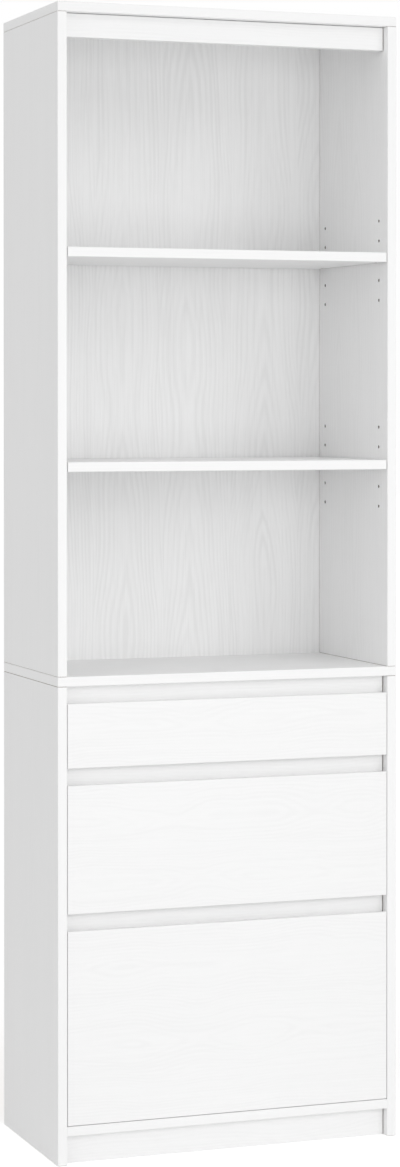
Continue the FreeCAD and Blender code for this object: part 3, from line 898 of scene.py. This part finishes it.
def looked_at(graph):
    """0 on rays that only carry light, and 1 or more on those that show something.

    These are the rays that come to the camera straight, by a reflection or through glass.
    """
    path = graph.add("ShaderNodeLightPath").outputs
    seen = graph.math("ADD", path["Is Camera Ray"], path["Is Glossy Ray"])
    return graph.math("ADD", seen, path["Is Transmission Ray"])


def add_floor(settings):
    """A pale floor that keeps the shadow; what the camera sees of it is lifted to white."""
    half = settings.floor_size / 2
    mesh = bpy.data.meshes.new("studio_floor")
    corners = [(-half, -half, 0), (half, -half, 0), (half, half, 0), (-half, half, 0)]
    mesh.from_pydata(corners, [], [(0, 1, 2, 3)])
    floor = bpy.data.objects.new("studio_floor", mesh)
    bpy.context.scene.collection.objects.link(floor)
    material, graph = new_material("studio_floor", settings.floor_colour)
    lit = graph.add("ShaderNodeBsdfDiffuse", {"Color": (*settings.floor_colour, 1.0)})
    strength = graph.math("MULTIPLY", looked_at(graph), settings.floor_glow)
    glow = graph.add("ShaderNodeEmission", {"Strength": strength})
    both = graph.add("ShaderNodeAddShader", {0: lit.outputs[0], 1: glow.outputs[0]})
    output = graph.add("ShaderNodeOutputMaterial")
    graph.tree.links.new(both.outputs[0], output.inputs["Surface"])
    mesh.materials.append(material)


def add_sky(settings):
    """Even light from all sides, and plain white where the camera or a reflection looks."""
    world = bpy.data.worlds.new("studio")
    bpy.context.scene.world = world
    world.use_nodes = True
    world.node_tree.nodes.clear()
    graph = NodeGraph(world.node_tree)
    seen = graph.math("MINIMUM", looked_at(graph), 1.0)
    even = graph.add("ShaderNodeBackground", {"Color": WHITE, "Strength": settings.sky})
    white = graph.add("ShaderNodeBackground", {"Color": WHITE, "Strength": 1.0})
    mixed = graph.add(
        "ShaderNodeMixShader", {0: seen, 1: even.outputs[0], 2: white.outputs[0]}
    )
    output = graph.add("ShaderNodeOutputWorld")
    graph.tree.links.new(mixed.outputs[0], output.inputs["Surface"])


def add_sun(name, strength, azimuth, elevation, softness):
    """A soft lamp that shines from one side, with its angles in degrees."""
    lamp = bpy.data.lights.new(name, "SUN")
    lamp.energy = strength
    lamp.angle = math.radians(softness)
    sun = bpy.data.objects.new(name, lamp)
    around, up = math.radians(azimuth), math.radians(elevation)
    level = math.cos(up)
    source = Vector((math.sin(around) * level, -math.cos(around) * level, math.sin(up)))
    sun.rotation_euler = source.to_track_quat("Z", "Y").to_euler()
    sun.location = source * SUN_DISTANCE
    bpy.context.scene.collection.objects.link(sun)


def add_soft_box(settings):
    """A broad lamp in front, which lights the deep compartments evenly."""
    lamp = bpy.data.lights.new("front_box", "AREA")
    lamp.shape = "RECTANGLE"
    lamp.size = settings.box_width
    lamp.size_y = settings.box_height
    lamp.energy = settings.front_box
    box = bpy.data.objects.new("front_box", lamp)
    box.location = settings.box_place
    from_aim = Vector(settings.box_place) - Vector((0.0, 0.0, settings.box_aim))
    box.rotation_euler = from_aim.to_track_quat("Z", "Y").to_euler()
    bpy.context.scene.collection.objects.link(box)


def add_camera(settings):
    """The camera: level but for a slight tilt, with its picture shifted."""
    data = bpy.data.cameras.new("camera")
    data.sensor_fit = "AUTO"
    data.sensor_width = SENSOR_SIDE
    data.lens = settings.focal_length
    data.shift_y = settings.rise
    data.clip_end = VIEW_LIMIT
    camera = bpy.data.objects.new("camera", data)
    camera.location = settings.camera_place
    turned = Euler((math.pi / 2 + settings.camera_tilt, 0.0, -settings.camera_turn), "XYZ")
    camera.rotation_euler = turned
    bpy.context.scene.collection.objects.link(camera)
    bpy.context.scene.camera = camera


class BOOKCASE_OT_stage(bpy.types.Operator):
    """Makes the floor, the lamps and the camera"""

    bl_idname = "bookcase.stage"
    bl_label = "Make Studio"

    def execute(self, context):
        settings = context.scene.bookcase_studio
        context.scene.view_settings.view_transform = "Standard"
        add_floor(settings)
        add_sky(settings)
        for name, angles in SUNS:
            add_sun(name, getattr(settings, name), **angles)
        add_soft_box(settings)
        add_camera(settings)
        return {"FINISHED"}


# --- Panel and registration ---


class BOOKCASE_PT_panel(bpy.types.Panel):
    """Lists the steps and their settings"""

    bl_label = "Bookcase"
    bl_idname = "BOOKCASE_PT_panel"
    bl_space_type = "VIEW_3D"
    bl_region_type = "UI"
    bl_category = "Bookcase"

    def draw(self, context):
        column = self.layout.column()
        for operator in OPERATORS:
            column.operator(operator.bl_idname)
        for name, group in SETTING_GROUPS.items():
            column.separator()
            for prop in group.__annotations__:
                column.prop(getattr(context.scene, name), prop)


OPERATORS = (
    BOOKCASE_OT_laminate,
    BOOKCASE_OT_boxes,
    BOOKCASE_OT_hardware,
    BOOKCASE_OT_screws,
    BOOKCASE_OT_stage,
)


def register():
    for group in SETTING_GROUPS.values():
        bpy.utils.register_class(group)
    for made in (*OPERATORS, BOOKCASE_PT_panel):
        bpy.utils.register_class(made)
    for name, group in SETTING_GROUPS.items():
        setattr(bpy.types.Scene, name, PointerProperty(type=group))


def unregister():
    for name in SETTING_GROUPS:
        delattr(bpy.types.Scene, name)
    for made in reversed((*OPERATORS, BOOKCASE_PT_panel)):
        bpy.utils.unregister_class(made)
    for group in SETTING_GROUPS.values():
        bpy.utils.unregister_class(group)


def main():
    register()
    bpy.ops.bookcase.laminate()
    bpy.ops.bookcase.boxes()
    bpy.ops.bookcase.hardware()
    bpy.ops.bookcase.screws()
    bpy.ops.bookcase.stage()


if __name__ == "__main__":
    main()
